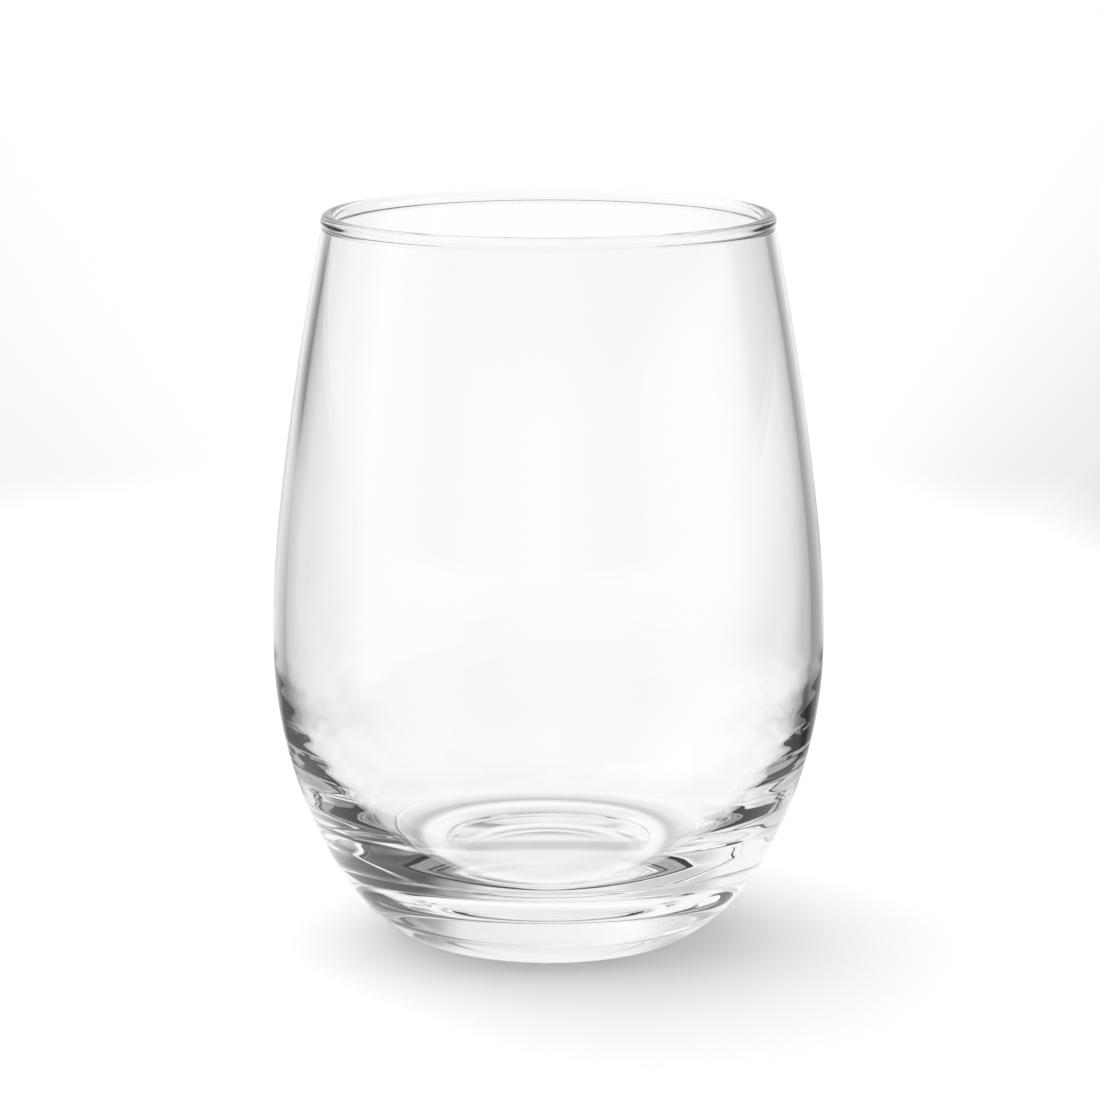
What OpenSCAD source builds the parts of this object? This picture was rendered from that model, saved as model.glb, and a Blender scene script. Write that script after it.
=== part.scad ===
// Stemless wine glass, blown and fire-polished in one piece of clear soda-lime glass.
// It stands on z = 0 with its axis of symmetry on the Z axis.
// The section is a chain of tangent arcs, turned once round the axis.

/* [Bowl, outside] */
// Height from the table to the top of the rim
glass_h = 118; // [108:1:128]
// Largest outside diameter, at the belly
belly_d = 90; // [84:1:98]
// Height of the belly above the table
belly_h = 48; // [43:1:54]
// How far inside the belly the outside of the rim bead lies, on the radius
rim_inset = 8.5; // [5:0.5:11]
// Lean of the wall towards the axis at the mouth, in degrees
mouth_lean = 11.5; // [9:0.5:14]

/* [Base, outside] */
// Outside diameter of the flat ring that the glass stands on
foot_d = 45; // [40:1:50]
// Width of the flat ring
foot_ring_w = 3.2; // [2:0.2:5]
// Radius of the heel, where the ring turns up into the bowl
heel_r = 6; // [3:0.5:8]
// Angle at which the heel runs into the bowl, in degrees
heel_angle = 35; // [25:1:40]
// Height of the hollow under the base, at its middle
punt_h = 3; // [1:0.25:4]
// Rounding where the hollow meets the flat ring
punt_edge_r = 3; // [1:0.5:6]

/* [Glass thickness] */
// Wall at the mouth, just under the bead
mouth_wall = 1.8; // [1.5:0.1:2]
// Wall at the belly
belly_wall = 2; // [1.6:0.1:2.8]
// Height of the bowl's floor above the table
floor_h = 10.5; // [9:0.5:14]
// How far inside the belly the flat middle of the floor ends, on the radius
floor_inset = 27.2; // [25:0.2:33]
// Radius of the turn from the floor to the wall
floor_turn_r = 18.2; // [14:0.2:22]
// Steepness at which that turn runs into the wall, in degrees
floor_turn_angle = 49.6; // [42:0.2:54]

/* [Rim] */
// Thickness of the fire-polished bead
bead_d = 2.3; // [2.2:0.1:3]
// How far the bead stands out from the wall
bead_proud = 0.4; // [0.2:0.05:0.6]

/* [Hidden] */
$fn = 96;

// Pieces in each arc of the section
arc_steps = 12;
// Where the two arcs of each sweep meet, as a share of their tangents' length
lower_share = 0.26;
upper_share = 0.31;
inner_share = 0.56;

level = 0;
upright = 90;
mouth_angle = upright + mouth_lean;
glass_tint = [0.90, 0.95, 0.96, 0.45];

// Unit vector that climbs at angle a from the level
function heading(a) = [cos(a), sin(a)];

// Arc that starts at p, climbing at angle a0, and ends climbing at a1.
// A negative radius turns the other way.
function arc_end(p, r, a0, a1) = p + r * [sin(a1) - sin(a0), cos(a0) - cos(a1)];
function arc(p, r, a0, a1) =
    [for (i = [0 : arc_steps]) arc_end(p, r, a0, a0 + (a1 - a0) * i / arc_steps)];

// Two tangent arcs from p, climbing at angle a0, to q, climbing at a1.
// The tangents at p and q share one length, split between them by share.
function sweep_length(v, u, w, share) =
    let (m = share * u + (1 - share) * w, along = v * m)
    v * v / (along + sqrt(along * along + 2 * share * (1 - share) * (1 - u * w) * (v * v)));
function sweep(p, a0, q, a1, share) =
    let (u = heading(a0), w = heading(a1))
    let (t = sweep_length(q - p, u, w, share))
    let (bar = q - (1 - share) * t * w - p - share * t * u)
    let (mid = atan2(bar[1], bar[0]))
    let (r0 = share * t / tan((mid - a0) / 2), r1 = (1 - share) * t / tan((a1 - mid) / 2))
    concat(arc(p, r0, a0, mid), arc(arc_end(p, r0, a0, mid), r1, mid, a1));

function reversed(list) = [for (i = [len(list) - 1 : -1 : 0]) list[i]];

// Places on the section: radius from the axis, height above the table
ring_in = [foot_d / 2 - foot_ring_w, 0];
ring_out = [foot_d / 2, 0];
heel_end = arc_end(ring_out, heel_r, level, heel_angle);
belly_out = [belly_d / 2, belly_h];
belly_in = belly_out - [belly_wall, 0];
floor_edge = [belly_d / 2 - floor_inset, floor_h];
floor_turn_end = arc_end(floor_edge, floor_turn_r, level, floor_turn_angle);
bead_centre = [belly_d / 2 - rim_inset - bead_d / 2, glass_h - bead_d / 2];
wall_outward = heading(mouth_lean);
mouth_out = bead_centre + (bead_d / 2 - bead_proud) * wall_outward;
mouth_in = mouth_out - mouth_wall * wall_outward;

// The hollow under the base is a shallow dome with a rounded edge
punt_angle = 2 * atan(punt_h / ring_in[0]);
dome_r = ring_in[0] / sin(punt_angle) - punt_edge_r;
dome_top = [0, punt_h];
dome_edge = arc_end(dome_top, -dome_r, level, -punt_angle);

module wall_section() {
    polygon(concat(
        arc(dome_top, -dome_r, level, -punt_angle),
        arc(dome_edge, punt_edge_r, -punt_angle, level),
        arc(ring_out, heel_r, level, heel_angle),
        sweep(heel_end, heel_angle, belly_out, upright, lower_share),
        sweep(belly_out, upright, mouth_out, mouth_angle, upper_share),
        reversed(sweep(belly_in, upright, mouth_in, mouth_angle, upper_share)),
        reversed(sweep(floor_turn_end, floor_turn_angle, belly_in, upright, inner_share)),
        reversed(arc(floor_edge, floor_turn_r, level, floor_turn_angle)),
        [[0, floor_h]]
    ));
}

module bead_section() {
    translate(bead_centre) circle(d = bead_d);
}

module glass_body() {
    color(glass_tint)
    rotate_extrude($fn = 180) {
        wall_section();
        bead_section();
    }
}

glass_body();
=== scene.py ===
import math

import bpy
import numpy as np
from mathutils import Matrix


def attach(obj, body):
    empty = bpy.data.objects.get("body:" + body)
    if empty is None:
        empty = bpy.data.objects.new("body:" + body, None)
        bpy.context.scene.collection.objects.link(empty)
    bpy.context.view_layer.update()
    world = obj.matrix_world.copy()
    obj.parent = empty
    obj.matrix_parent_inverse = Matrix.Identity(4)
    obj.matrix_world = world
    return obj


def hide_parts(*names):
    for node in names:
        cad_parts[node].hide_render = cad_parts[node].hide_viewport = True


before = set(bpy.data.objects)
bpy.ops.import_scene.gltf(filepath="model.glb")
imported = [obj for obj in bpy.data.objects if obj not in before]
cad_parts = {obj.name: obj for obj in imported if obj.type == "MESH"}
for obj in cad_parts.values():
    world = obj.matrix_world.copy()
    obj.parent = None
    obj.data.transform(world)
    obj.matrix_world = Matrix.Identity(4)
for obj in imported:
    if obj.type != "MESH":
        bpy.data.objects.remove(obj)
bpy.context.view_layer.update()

# Stemless wine glass on white paper: the glass is turned from one section, and the studio
# round it gives its clear walls their light and dark edges.
mm = 0.001
upright = 90.0               # climbing angle of a wall that goes straight up, in degrees
leastSteps = 4               # fewest steps in an arc, however short it is
scene = bpy.context.scene
scene.view_settings.view_transform = "Standard"


# An sRGB hex colour as linear red, green, blue and alpha
def linear(hexColour):
    channels = [int(hexColour[i:i + 2], 16) / 255 for i in (1, 3, 5)]
    return [c / 12.92 if c <= 0.04045 else ((c + 0.055) / 1.055) ** 2.4 for c in channels] + [1.0]


# A node of one kind, with its properties and sockets set and its inputs linked.
# A number in place of a name is the socket's own number
def addNode(tree, kind, settings=(), links=()):
    node = tree.nodes.new(kind)
    for name, value in dict(settings).items():
        if isinstance(name, int) or name in node.inputs:
            node.inputs[name].default_value = value
        else:
            setattr(node, name, value)
    for name, source in dict(links).items():
        tree.links.new(source, node.inputs[name])
    return node


# An empty node material and its tree
def newMaterial(name):
    material = bpy.data.materials.new(name)
    material.use_nodes = True
    material.node_tree.nodes.clear()
    return material, material.node_tree


# A mesh object of points in metres
def meshObject(name, points, faces, smooth=True):
    mesh = bpy.data.meshes.new(name)
    mesh.from_pydata(points.tolist(), [], faces)
    mesh.validate()
    if smooth:
        mesh.shade_smooth()
    else:
        mesh.shade_flat()
    piece = bpy.data.objects.new(name, mesh)
    scene.collection.objects.link(piece)
    return piece


# Section of the glass, in millimetres and degrees
glassShape = {
    "height": 118.0,
    "bellyDiameter": 90.0,
    "bellyHeight": 48.0,
    "rimDiameter": 73.0,
    "mouthLean": 11.5,       # lean of the wall towards the axis at the mouth
    "footDiameter": 45.0,
    "footRingWidth": 3.2,
    "heelRadius": 6.0,       # where the ring turns up into the bowl
    "heelAngle": 35.0,
    "puntHeight": 3.0,       # the hollow under the base
    "puntEdgeRadius": 3.0,
    "mouthWall": 1.8,
    "bellyWall": 2.0,
    "floorHeight": 10.5,
    "floorDiameter": 35.6,   # the flat middle of the bowl's floor
    "floorTurnRadius": 18.2,
    "floorTurnAngle": 49.6,
    "beadThickness": 2.3,
    "beadProud": 0.4,        # how far the bead stands out from the wall
    "lowerShare": 0.26,      # where the two arcs of each sweep meet, as a share of their tangents
    "upperShare": 0.31,
    "innerShare": 0.56,
    "seamHeight": 5.0,       # the ring where the mould's bottom plate meets its sides
    "seamRelief": 0.15,
    "seamWidth": 0.7,
    "turns": 200,            # columns of faces round the glass
    "fineStep": 0.35,        # spacing of the section's points at the heel and seam, in mm
    "baseStep": 0.6,         # in the base and the lower bowl
    "wallStep": 1.5,         # in the walls above
    "beadPoints": 30,        # points round the bead, with the two where the walls meet it
}

# Settle waves left inside by the blowing: faint rings, stronger in the thick lower wall
waves = {
    "length": 3.6,           # mm from crest to crest along the wall
    "relief": 0.022,         # mm
    "start": 30.0,           # mm along the inside from the middle of the floor, where they begin
    "full": 44.0,            # where they have their full relief
    "fade": 50.0,            # up to here
    "end": 78.0,             # and are gone
    "gather": 4,             # power of the cosine that keeps them to the two sides
    "swirl": [(1, 0.9, 0.4), (2, 0.5, 2.1), (3, 0.35, 4.0)],   # lobes round the glass, phase swing, turn
}


# Unit vector that climbs at an angle from the level
def heading(angle):
    return np.array([math.cos(math.radians(angle)), math.sin(math.radians(angle))])


# Points of an arc: start plus radius times the change in sine (outwards) and in cosine (upwards)
# of the climbing angle, which goes evenly from angleIn to angleOut
def arc(start, radius, angleIn, angleOut, step):
    length = abs(radius * math.radians(angleOut - angleIn))
    count = max(leastSteps, math.ceil(length / step))
    a = np.radians(np.linspace(angleIn, angleOut, count + 1))
    return start + radius * np.stack([np.sin(a) - np.sin(a[0]), np.cos(a[0]) - np.cos(a)], axis=1)


# Two tangent arcs between two points. The tangents from the ends have one total length,
# split by share, and their far ends are joined by a bar that both arcs touch
def sweepArcs(start, angleIn, end, angleOut, share, firstStep, lastStep):
    u, w, v = heading(angleIn), heading(angleOut), end - start
    along = v @ (share * u + (1 - share) * w)
    total = v @ v / (along + math.sqrt(along ** 2 + 2 * share * (1 - share) * (1 - u @ w) * (v @ v)))
    bar = v - (1 - share) * total * w - share * total * u
    middle = math.degrees(math.atan2(bar[1], bar[0]))
    firstRadius = share * total / math.tan(math.radians(middle - angleIn) / 2)
    lastRadius = (1 - share) * total / math.tan(math.radians(angleOut - middle) / 2)
    first = arc(start, firstRadius, angleIn, middle, firstStep)
    return np.concatenate([first, arc(first[-1], lastRadius, middle, angleOut, lastStep)[1:]])


def beadCentre(shape):
    return np.array([shape["rimDiameter"] / 2, shape["height"]]) - shape["beadThickness"] / 2


# The wall's points up to where it runs into the bead, and the angle there round the bead
def beadJoin(wall, centre, radius):
    distance = np.hypot(*(wall - centre).T)
    last = np.flatnonzero(distance > radius)[-1]
    step = (distance[last] - radius) / (distance[last] - distance[last + 1])
    meeting = wall[last] + step * (wall[last + 1] - wall[last])
    angle = math.atan2(meeting[1] - centre[1], meeting[0] - centre[0])
    return np.concatenate([wall[:last + 1], [meeting]]), angle


# One face of the wall from the belly to the bead, towards a point aside of the bead's centre
def upperWall(shape, belly, aside):
    mouth = beadCentre(shape) + aside * heading(shape["mouthLean"])
    mouthAngle = upright + shape["mouthLean"]
    step = shape["wallStep"]
    wall = sweepArcs(belly, upright, mouth, mouthAngle, shape["upperShare"], step, step)
    return beadJoin(wall, beadCentre(shape), shape["beadThickness"] / 2)


# Unit vectors square to the section, to the right of its direction of travel
def sideways(points):
    along = np.gradient(points, axis=0)
    along /= np.hypot(*along.T)[:, None]
    return np.stack([along[:, 1], -along[:, 0]], axis=1)


# Outside of the section as radius and height, from the axis under the base to the bead.
# The seam stands out by relief x exp(-(height from it / half its width)^2)
def outerSection(shape):
    fine, base = shape["fineStep"], shape["baseStep"]
    ringIn = np.array([shape["footDiameter"] / 2 - shape["footRingWidth"], 0.0])
    ringOut = np.array([shape["footDiameter"] / 2, 0.0])
    puntAngle = 2 * math.degrees(math.atan(shape["puntHeight"] / ringIn[0]))
    domeRadius = ringIn[0] / math.sin(math.radians(puntAngle)) - shape["puntEdgeRadius"]
    dome = arc(np.array([0.0, shape["puntHeight"]]), -domeRadius, 0, -puntAngle, base)
    domeEdge = arc(dome[-1], shape["puntEdgeRadius"], -puntAngle, 0, fine)
    heel = arc(ringOut, shape["heelRadius"], 0, shape["heelAngle"], fine)
    belly = np.array([shape["bellyDiameter"] / 2, shape["bellyHeight"]])
    lower = sweepArcs(heel[-1], shape["heelAngle"], belly, upright, shape["lowerShare"], fine, base)
    upper, angle = upperWall(shape, belly, shape["beadThickness"] / 2 - shape["beadProud"])
    points = np.concatenate([dome, domeEdge[1:], heel, lower[1:], upper[1:]])
    away = (points[:, 1] - shape["seamHeight"]) / (shape["seamWidth"] / 2)
    relief = shape["seamRelief"] * np.exp(-away ** 2)
    return points + sideways(points) * relief[:, None], angle


# Inside of the section, from the middle of the floor to the bead
def innerSection(shape):
    base = shape["baseStep"]
    edge = np.array([shape["floorDiameter"] / 2, shape["floorHeight"]])
    across = np.linspace(0, edge[0], math.ceil(edge[0] / base) + 1)[:-1]
    floor = np.stack([across, np.full(len(across), edge[1])], axis=1)
    turn = arc(edge, shape["floorTurnRadius"], 0, shape["floorTurnAngle"], base)
    belly = np.array([shape["bellyDiameter"] / 2 - shape["bellyWall"], shape["bellyHeight"]])
    lower = sweepArcs(turn[-1], shape["floorTurnAngle"], belly, upright, shape["innerShare"], base, base)
    inset = shape["beadThickness"] / 2 - shape["beadProud"] - shape["mouthWall"]
    upper, angle = upperWall(shape, belly, inset)
    return np.concatenate([floor, turn, lower[1:], upper[1:]]), angle


# Relief of the settle waves at distance s along the inside and turn t round the axis:
# relief x window(s) x cos(t)^gather x sin(2 pi s / length + the swirl's swings). The window rises
# and fades smoothly along s. They fill the two sides and leave the front and back clear
def settleWaves(s, t):
    rise = np.clip((s - waves["start"]) / (waves["full"] - waves["start"]), 0, 1)
    fall = np.clip((waves["end"] - s) / (waves["end"] - waves["fade"]), 0, 1)
    window = rise ** 2 * (3 - 2 * rise) * fall ** 2 * (3 - 2 * fall)
    swing = sum(size * np.sin(lobes * t + turn) for lobes, size, turn in waves["swirl"])
    around = np.cos(t) ** waves["gather"]
    crests = np.sin(2 * math.pi * s[:, None] / waves["length"] + swing)
    return waves["relief"] * window[:, None] * around * crests


# Faces of a closed skin round an axis: quads between the rows, where point row x turns + column
# stands at each crossing, and a fan to each of the two poles that come after them
def turnedFaces(rows, turns):
    i, j = np.meshgrid(np.arange(rows - 1), np.arange(turns), indexing="ij")
    k = (j + 1) % turns
    quads = np.stack([i * turns + j, i * turns + k, (i + 1) * turns + k, (i + 1) * turns + j], axis=2)
    column = np.arange(turns)
    nextColumn = (column + 1) % turns
    lowPole, highPole = rows * turns, rows * turns + 1
    low = np.stack([np.full(turns, lowPole), nextColumn, column], axis=1)
    top = (rows - 1) * turns
    high = np.stack([np.full(turns, highPole), top + column, top + nextColumn], axis=1)
    return quads.reshape(-1, 4).tolist() + low.tolist() + high.tolist()


# The glass as one closed skin: the section turned round the z axis, x = r cos t, y = r sin t,
# z = h, on a grid of section point by turn t, with the waves pushed square to the inside.
# The two end points on the axis are single poles
def turnedGlass(name, shape):
    turns = shape["turns"]
    outer, angleOut = outerSection(shape)
    inner, angleIn = innerSection(shape)
    around = np.linspace(angleOut, angleIn % (2 * math.pi), shape["beadPoints"])[1:-1]
    radius = shape["beadThickness"] / 2
    bead = beadCentre(shape) + radius * np.stack([np.cos(around), np.sin(around)], axis=1)
    t = np.linspace(0, 2 * math.pi, turns, endpoint=False)
    s = np.concatenate([[0], np.cumsum(np.hypot(*np.diff(inner, axis=0).T))])
    waved = inner[:, None, :] - sideways(inner)[:, None, :] * settleWaves(s, t)[:, :, None]
    steady = np.repeat(np.concatenate([outer, bead])[:, None, :], turns, axis=1)
    grid = np.concatenate([steady[1:], waved[:0:-1]])
    r, z = grid[:, :, 0], grid[:, :, 1]
    points = np.stack([r * np.cos(t), r * np.sin(t), z], axis=2).reshape(-1, 3)
    poles = np.array([[0, 0, outer[0, 1]], [0, 0, inner[0, 1]]])
    points = np.concatenate([points, poles]) * mm
    return meshObject(name, points, turnedFaces(len(grid), turns))


# Finish of the glass. Scales are the sizes of the features, in mm
glassFinish = {
    "index": 1.52,
    "rippleScale": 16.0,     # slow ripples left by the mould's cooler wall, drawn out along the blow
    "rippleStretch": (1.0, 1.0, 0.3),
    "rippleDetail": 1.0,
    "rippleRelief": 0.012,
    "polish": 0.0,           # roughness of the skin that the flame and the mould leave
    "rubbed": 0.16,          # and of the foot ring, scuffed by tables
    "rubReach": (0.04, 0.30),    # mm above the table over which the scuffs end
    "rubScale": 0.8,
    "rubDetail": 3.0,
    "tint": "#AFBFBB",       # iron's grey green, seen only along centimetres of glass
    "tintDensity": 0.9,      # per metre
}


# Soda-lime glass, pressed and blown, mouth fire-polished: colourless and mirror-smooth, index 1.52.
# The eye gets a faint wobble from the ripples, a dull scuffed foot and a trace of tint in the base.
# roughness = fine noise x (rubbed at the table, going over to polish above the ring)
def sodaLimeGlass():
    finish = glassFinish
    material, tree = newMaterial("soda lime glass fire polished")
    place = addNode(tree, "ShaderNodeTexCoord").outputs["Object"]
    drawn = addNode(tree, "ShaderNodeVectorMath", {
        "operation": "MULTIPLY", 1: finish["rippleStretch"]}, {0: place})
    ripple = addNode(tree, "ShaderNodeTexNoise", {
        "Scale": 1 / (finish["rippleScale"] * mm), "Detail": finish["rippleDetail"]},
        {"Vector": drawn.outputs[0]})
    bump = addNode(tree, "ShaderNodeBump", {"Distance": finish["rippleRelief"] * mm},
                   {"Height": ripple.outputs[0]})
    height = addNode(tree, "ShaderNodeSeparateXYZ", links={"Vector": place})
    low, high = finish["rubReach"]
    rub = addNode(tree, "ShaderNodeMapRange", {
        "interpolation_type": "SMOOTHSTEP", "From Min": low * mm, "From Max": high * mm,
        "To Min": finish["rubbed"], "To Max": finish["polish"]}, {"Value": height.outputs["Z"]})
    scuffs = addNode(tree, "ShaderNodeTexNoise", {
        "Scale": 1 / (finish["rubScale"] * mm), "Detail": finish["rubDetail"]}, {"Vector": place})
    roughness = addNode(tree, "ShaderNodeMath", {"operation": "MULTIPLY"},
                        {0: rub.outputs["Result"], 1: scuffs.outputs[0]})
    shader = addNode(tree, "ShaderNodeBsdfPrincipled", {
        "Base Color": linear("#FFFFFF"), "IOR": finish["index"], "Transmission Weight": 1.0},
        {"Roughness": roughness.outputs[0], "Normal": bump.outputs["Normal"]})
    tint = addNode(tree, "ShaderNodeVolumeAbsorption", {
        "Color": linear(finish["tint"]), "Density": finish["tintDensity"]})
    addNode(tree, "ShaderNodeOutputMaterial", links={
        "Surface": shader.outputs["BSDF"], "Volume": tint.outputs["Volume"]})
    return material


glass = turnedGlass("wine_glass", glassShape)
glass.data.materials.append(sodaLimeGlass())
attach(glass, "root")
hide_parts("glass_body")
print("glass:", len(glass.data.vertices), "points,", len(glass.data.polygons), "faces")


# A ramp's greys from (position, level) pairs that go from 0 to 1, eased between them
def setGreys(ramp, pairs):
    stops = ramp.color_ramp
    stops.interpolation = "EASE"
    for position, _ in pairs[1:-1]:
        stops.elements.new(position)
    for stop, (_, level) in zip(stops.elements, pairs):
        stop.color = [level, level, level, 1.0]
    return ramp.outputs["Color"]


# Brightness by azimuth: the angle of the vector round z, looked up among (azimuth, level) pairs.
# Azimuth is in degrees, 0 behind the glass, growing to the right. Peak is the level that white stands for
def azimuthLevel(tree, vector, levels, peak=1.0):
    parts = addNode(tree, "ShaderNodeSeparateXYZ", links={"Vector": vector})
    angle = addNode(tree, "ShaderNodeMath", {"operation": "ARCTAN2"},
                    {0: parts.outputs["X"], 1: parts.outputs["Y"]})
    share = addNode(tree, "ShaderNodeMapRange", {"From Min": -math.pi, "From Max": math.pi},
                    {"Value": angle.outputs[0]})
    ramp = addNode(tree, "ShaderNodeValToRGB", links={"Fac": share.outputs["Result"]})
    return setGreys(ramp, [(azimuth / 360 + 0.5, level / peak) for azimuth, level in levels])


# 1 for the named kinds of ray where no matt surface has gathered them, 0 for the others
def rayShare(tree, kinds):
    path = addNode(tree, "ShaderNodeLightPath")
    share = path.outputs[kinds[0]]
    for kind in kinds[1:]:
        either = addNode(tree, "ShaderNodeMath", {"operation": "MAXIMUM"},
                         {0: share, 1: path.outputs[kind]})
        share = either.outputs[0]
    direct = addNode(tree, "ShaderNodeMath", {"operation": "SUBTRACT", "use_clamp": True},
                     {0: share, 1: path.outputs["Diffuse Depth"]})
    return direct.outputs[0]


# The white paper that the glass stands on. Radii and rings are metres from the axis, and levels are
# brightnesses, 1 for white
tablePaper = {
    "radius": 8.0,
    "colour": "#FDFDFD",
    "gap": 0.00003,          # a hair of air, so that glass and paper don't share one plane
    "bareRing": (0.25, 0.45),    # inside it the camera sees the paper as it is lit, shadow and all
    # Painted light and shade that the glass shows on the paper, by azimuth, in bands outwards: beside the
    # glass,
    #     # on the table and far out. The camera sees the same beyond the bare ring. Each band fades in
    #     over its ring
    "paintedBands": [
        {"ring": (0.075, 0.105), "levels": [
            (-180, 1.0), (-75, 0.85), (-55, 0.42), (-43, 0.30), (-36, 0.62), (-30, 0.84), (-24, 0.94),
            (-15, 1.0), (20, 1.0), (28, 0.94), (34, 0.76), (40, 0.45), (53, 0.10), (65, 0.35),
            (80, 0.85), (110, 1.0), (180, 1.0)]},
        {"ring": (0.13, 0.21), "levels": [
            (-180, 0.80), (-125, 0.80), (-105, 0.88), (-82, 0.78), (-62, 0.52), (-46, 0.42),
            (-36, 0.60), (-28, 0.74), (-20, 0.93), (-11, 1.0), (11, 1.0), (19, 0.86), (27, 0.50),
            (35, 0.36), (45, 0.32), (55, 0.36), (65, 0.62), (78, 0.92), (107, 0.95), (132, 0.90),
            (157, 0.85), (180, 0.80)]},
        {"ring": (0.60, 1.00), "levels": [
            (-180, 0.80), (-130, 0.84), (-105, 0.88), (-82, 0.80), (-62, 0.55), (-46, 0.22),
            (-35, 0.20), (-28, 0.45), (-20, 0.90), (-11, 1.0), (11, 1.0), (19, 0.86), (27, 0.46),
            (35, 0.34), (45, 0.36), (58, 0.64), (72, 0.88), (107, 0.95), (132, 0.90), (157, 0.85),
            (180, 0.80)]},
    ],
    # Inside the first ring, by distance from the axis in mm: a painted shadow of the foot and painted
    #     # light that the base would gather beside it
    "under": [
        (0.0, 0.84), (8.0, 0.87), (14.0, 0.84), (17.5, 0.88), (20.0, 1.0), (22.5, 0.96),
        (25.2, 0.52), (28.5, 0.82), (32.0, 0.96), (60.0, 1.0), (100.0, 1.0)],
    "underScale": (1.0, 0.89, 1.0),  # the light from behind draws those rings out front to back
    "underShift": (1.2, 0.0, 0.0),   # and the light from the right a little to the left, in mm
    "bar": {                 # a painted bar of shade bowed across them, in mm
        "middle": 2.5,
        "bow": 0.0147,       # how far it bows to the front, per mm of distance aside squared
        "half": 1.5,         # distance from its middle up to which it is at full strength
        "reach": 4.5,        # and where it is gone
        "level": 0.66,
        "ends": (14.0, 19.0),    # distance aside over which it ends
    },
}


# 1 away from the painted bar of shade and its level on it: the distance is that of y from middle - bow
# x^2,
# # and the bar fades out towards its ends
def paintedShadeBar(tree, place):
    bar = tablePaper["bar"]
    parts = addNode(tree, "ShaderNodeSeparateXYZ", links={"Vector": place})
    square = addNode(tree, "ShaderNodeMath", {"operation": "MULTIPLY"},
                     {0: parts.outputs["X"], 1: parts.outputs["X"]})
    bowed = addNode(tree, "ShaderNodeMath", {"operation": "MULTIPLY_ADD", 1: bar["bow"] / mm},
                    {0: square.outputs[0], 2: parts.outputs["Y"]})
    middle = addNode(tree, "ShaderNodeMath", {"operation": "SUBTRACT", 1: bar["middle"] * mm},
                     {0: bowed.outputs[0]})
    away = addNode(tree, "ShaderNodeMath", {"operation": "ABSOLUTE"}, {0: middle.outputs[0]})
    dark = addNode(tree, "ShaderNodeMapRange", {
        "interpolation_type": "SMOOTHSTEP", "From Min": bar["half"] * mm, "From Max": bar["reach"] * mm,
        "To Min": 1 - bar["level"], "To Max": 0.0}, {"Value": away.outputs[0]})
    aside = addNode(tree, "ShaderNodeMath", {"operation": "ABSOLUTE"}, {0: parts.outputs["X"]})
    ends = addNode(tree, "ShaderNodeMapRange", {
        "interpolation_type": "SMOOTHSTEP", "From Min": bar["ends"][0] * mm,
        "From Max": bar["ends"][1] * mm, "To Min": 1.0, "To Max": 0.0}, {"Value": aside.outputs[0]})
    share = addNode(tree, "ShaderNodeMath", {"operation": "MULTIPLY"},
                    {0: dark.outputs["Result"], 1: ends.outputs["Result"]})
    rest = addNode(tree, "ShaderNodeMath", {"operation": "SUBTRACT", 0: 1.0}, {1: share.outputs[0]})
    return rest.outputs[0]


# Painted shadow and light on the paper under and beside the base, by its distance from the axis,
# # times the painted bar of shade
def paintedShadowAndLightUnder(tree, place):
    pairs = tablePaper["under"]
    reach = pairs[-1][0]
    drawn = addNode(tree, "ShaderNodeVectorMath", {
        "operation": "MULTIPLY_ADD", 1: tablePaper["underScale"],
        2: [shift * mm for shift in tablePaper["underShift"]]}, {0: place})
    distance = addNode(tree, "ShaderNodeVectorMath", {"operation": "LENGTH"}, {0: drawn.outputs[0]})
    share = addNode(tree, "ShaderNodeMapRange", {"From Max": reach * mm},
                    {"Value": distance.outputs["Value"]})
    ramp = addNode(tree, "ShaderNodeValToRGB", links={"Fac": share.outputs["Result"]})
    rings = setGreys(ramp, [(radius / reach, level) for radius, level in pairs])
    barred = addNode(tree, "ShaderNodeMath", {"operation": "MULTIPLY"},
                     {0: rings, 1: paintedShadeBar(tree, place)})
    return barred.outputs[0]


# From 0 inside a ring round the glass to 1 outside it
def beyondRing(tree, place, ring):
    reach = addNode(tree, "ShaderNodeVectorMath", {"operation": "LENGTH"}, {0: place})
    fade = addNode(tree, "ShaderNodeMapRange", {
        "interpolation_type": "SMOOTHSTEP", "From Min": ring[0], "From Max": ring[1]},
        {"Value": reach.outputs["Value"]})
    return fade.outputs["Result"]


# Matt white paper, calendered: no gloss, so the shadow lies soft on it. What the glass shows of it,
# # and what the camera sees of it beyond the bare ring, shines with the painted levels of light and shade
# above
def mattPaper():
    material, tree = newMaterial("matt white paper")
    paper = addNode(tree, "ShaderNodeBsdfDiffuse", {"Color": linear(tablePaper["colour"])})
    place = addNode(tree, "ShaderNodeTexCoord").outputs["Object"]
    farOut = addNode(tree, "ShaderNodeMath", {"operation": "MULTIPLY"}, {
        0: beyondRing(tree, place, tablePaper["bareRing"]), 1: rayShare(tree, ["Is Camera Ray"])})
    share = addNode(tree, "ShaderNodeMath", {"operation": "MAXIMUM"}, {
        0: farOut.outputs[0], 1: rayShare(tree, ["Is Glossy Ray", "Is Transmission Ray"])})
    # painted shadow and light under the base, then the painted bands of light and shade by azimuth
    level = paintedShadowAndLightUnder(tree, place)
    for band in tablePaper["paintedBands"]:
        mixed = addNode(tree, "ShaderNodeMix", {"data_type": "FLOAT"}, {
            "Factor": beyondRing(tree, place, band["ring"]), "A": level,
            "B": azimuthLevel(tree, place, band["levels"])})
        level = mixed.outputs["Result"]
    shining = addNode(tree, "ShaderNodeEmission", {"Color": linear("#FFFFFF")}, {"Strength": level})
    surface = addNode(tree, "ShaderNodeMixShader", links={
        0: share.outputs[0], 1: paper.outputs["BSDF"], 2: shining.outputs["Emission"]})
    addNode(tree, "ShaderNodeOutputMaterial", links={"Surface": surface.outputs["Shader"]})
    return material


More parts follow.
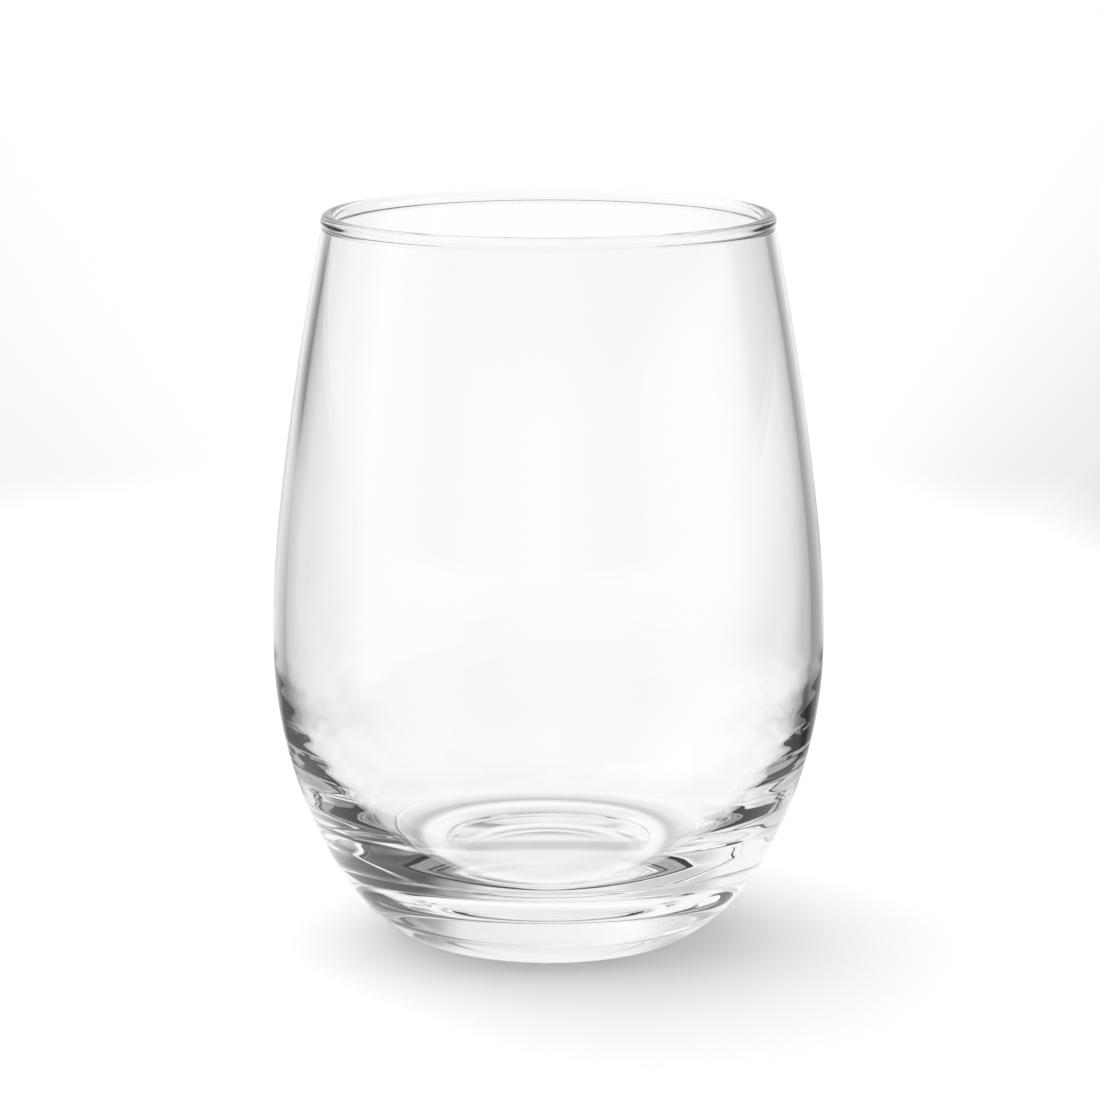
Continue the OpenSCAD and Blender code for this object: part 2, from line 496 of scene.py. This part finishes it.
def tableTop():
    r = tablePaper["radius"]
    corners = np.array([[-r, -r, 0], [r, -r, 0], [r, r, 0], [-r, r, 0]]) - [0, 0, tablePaper["gap"]]
    table = meshObject("table", corners, [[0, 1, 2, 3]], smooth=False)
    table.data.materials.append(mattPaper())


# The room round the table: a softbox at the left, a bright backdrop behind, a black card at the
# right and dimmer stretches between. Heights are sines of the elevation
room = {
    "walls": [               # azimuth and brightness
        (-180, 0.50), (-150, 0.42), (-130, 0.40), (-112, 0.66), (-92, 1.0), (-68, 1.0), (-50, 0.60),
        (-32, 0.67), (-18, 0.97), (18, 0.93), (30, 0.42), (44, 0.04), (78, 0.03), (97, 0.08),
        (115, 0.30), (150, 0.28), (165, 0.40), (180, 0.50)],
    "boards": [              # the same just above the table, where a white board stands at the right
        (-180, 0.80), (-155, 0.70), (-132, 0.45), (-112, 0.70), (-92, 1.0), (-68, 1.0), (-50, 0.72),
        (-32, 0.70), (-18, 0.97), (18, 0.95), (32, 0.50), (44, 0.30), (58, 0.12), (70, 0.24),
        (84, 0.95), (108, 1.0), (126, 0.85), (146, 0.45), (166, 0.60), (180, 0.80)],
    "boardTop": (0.12, 0.22),    # height where the boards go over to the walls
    "softLight": [           # azimuth and level of the light on matt surfaces, from the sides
        (-180, 0.05), (-150, 0.40), (-112, 2.00), (-68, 1.30), (-22, 2.60), (22, 1.40), (55, 0.10),
        (90, 0.90), (112, 1.90), (140, 0.30), (180, 0.05)],
    "softPeak": 3.0,         # the level that a ramp's white stands for there
    "overhead": 1.3,         # and the level of the light from above
    "overheadEdge": (0.70, 0.90),    # height where it takes over
}


# The room by azimuth and height for what looks at it, and a softer light, by azimuth and from
# above, for matt surfaces
def studioWorld():
    world = bpy.data.worlds.new("studio")
    world.use_nodes = True
    tree = world.node_tree
    tree.nodes.clear()
    direction = addNode(tree, "ShaderNodeTexCoord").outputs["Generated"]
    height = addNode(tree, "ShaderNodeSeparateXYZ", links={"Vector": direction})
    above = addNode(tree, "ShaderNodeMapRange", {
        "interpolation_type": "SMOOTHSTEP", "From Min": room["overheadEdge"][0],
        "From Max": room["overheadEdge"][1]}, {"Value": height.outputs["Z"]})
    light = addNode(tree, "ShaderNodeMix", {
        "data_type": "FLOAT", "B": room["overhead"] / room["softPeak"]}, {
        "Factor": above.outputs["Result"],
        "A": azimuthLevel(tree, direction, room["softLight"], room["softPeak"])})
    soft = addNode(tree, "ShaderNodeBackground", {"Strength": room["softPeak"]},
                   {"Color": light.outputs["Result"]})
    wall = addNode(tree, "ShaderNodeMapRange", {
        "interpolation_type": "SMOOTHSTEP", "From Min": room["boardTop"][0],
        "From Max": room["boardTop"][1]}, {"Value": height.outputs["Z"]})
    view = addNode(tree, "ShaderNodeMix", {"data_type": "FLOAT"}, {
        "Factor": wall.outputs["Result"],
        "A": azimuthLevel(tree, direction, room["boards"]),
        "B": azimuthLevel(tree, direction, room["walls"])})
    seen = addNode(tree, "ShaderNodeBackground", links={"Color": view.outputs["Result"]})
    looking = rayShare(tree, ["Is Camera Ray", "Is Glossy Ray", "Is Transmission Ray"])
    both = addNode(tree, "ShaderNodeMixShader", links={
        0: looking, 1: soft.outputs["Background"], 2: seen.outputs["Background"]})
    addNode(tree, "ShaderNodeOutputWorld", links={"Surface": both.outputs["Shader"]})
    scene.world = world


# A weak lamp high at the back left, in metres. Most of the light comes from the room
keyLamp = {
    "place": (-0.58, 0.32, 0.95),
    "aim": (0, 0, 0.05),
    "size": (0.8, 0.8),
    "watts": 0.8,
}


# A rectangular lamp turned towards its aim
def areaLamp(name, settings):
    data = bpy.data.lights.new(name, "AREA")
    data.shape = "RECTANGLE"
    data.size, data.size_y = settings["size"]
    data.energy = settings["watts"]
    lamp = bpy.data.objects.new(name, data)
    scene.collection.objects.link(lamp)
    x, y, z = np.array(settings["aim"]) - np.array(settings["place"])
    lamp.location = settings["place"]
    lamp.rotation_euler = [math.atan2(math.hypot(x, y), -z), 0, math.atan2(y, x) - math.pi / 2]


# A long lens on a full-frame back, a little above the rim and tilted down to the glass
longLens = {
    "sensorWidth": 36.0,     # mm
    "focalLength": 118.0,    # mm
    "place": (0.00025, -0.576, 0.1813),
    "tilt": 11.63,           # degrees below the level
}


def photographCamera():
    data = bpy.data.cameras.new("camera")
    data.sensor_fit = "HORIZONTAL"
    data.sensor_width = longLens["sensorWidth"]
    data.lens = longLens["focalLength"]
    camera = bpy.data.objects.new("camera", data)
    scene.collection.objects.link(camera)
    camera.location = longLens["place"]
    camera.rotation_euler = [math.radians(upright - longLens["tilt"]), 0, 0]
    scene.camera = camera


# Light crosses the thick base many times before it leaves
scene.cycles.max_bounces = 24
scene.cycles.transmission_bounces = 24
scene.cycles.glossy_bounces = 16
tableTop()
studioWorld()
areaLamp("softbox_left", keyLamp)
photographCamera()
print("studio: table, room, lamp and camera set")
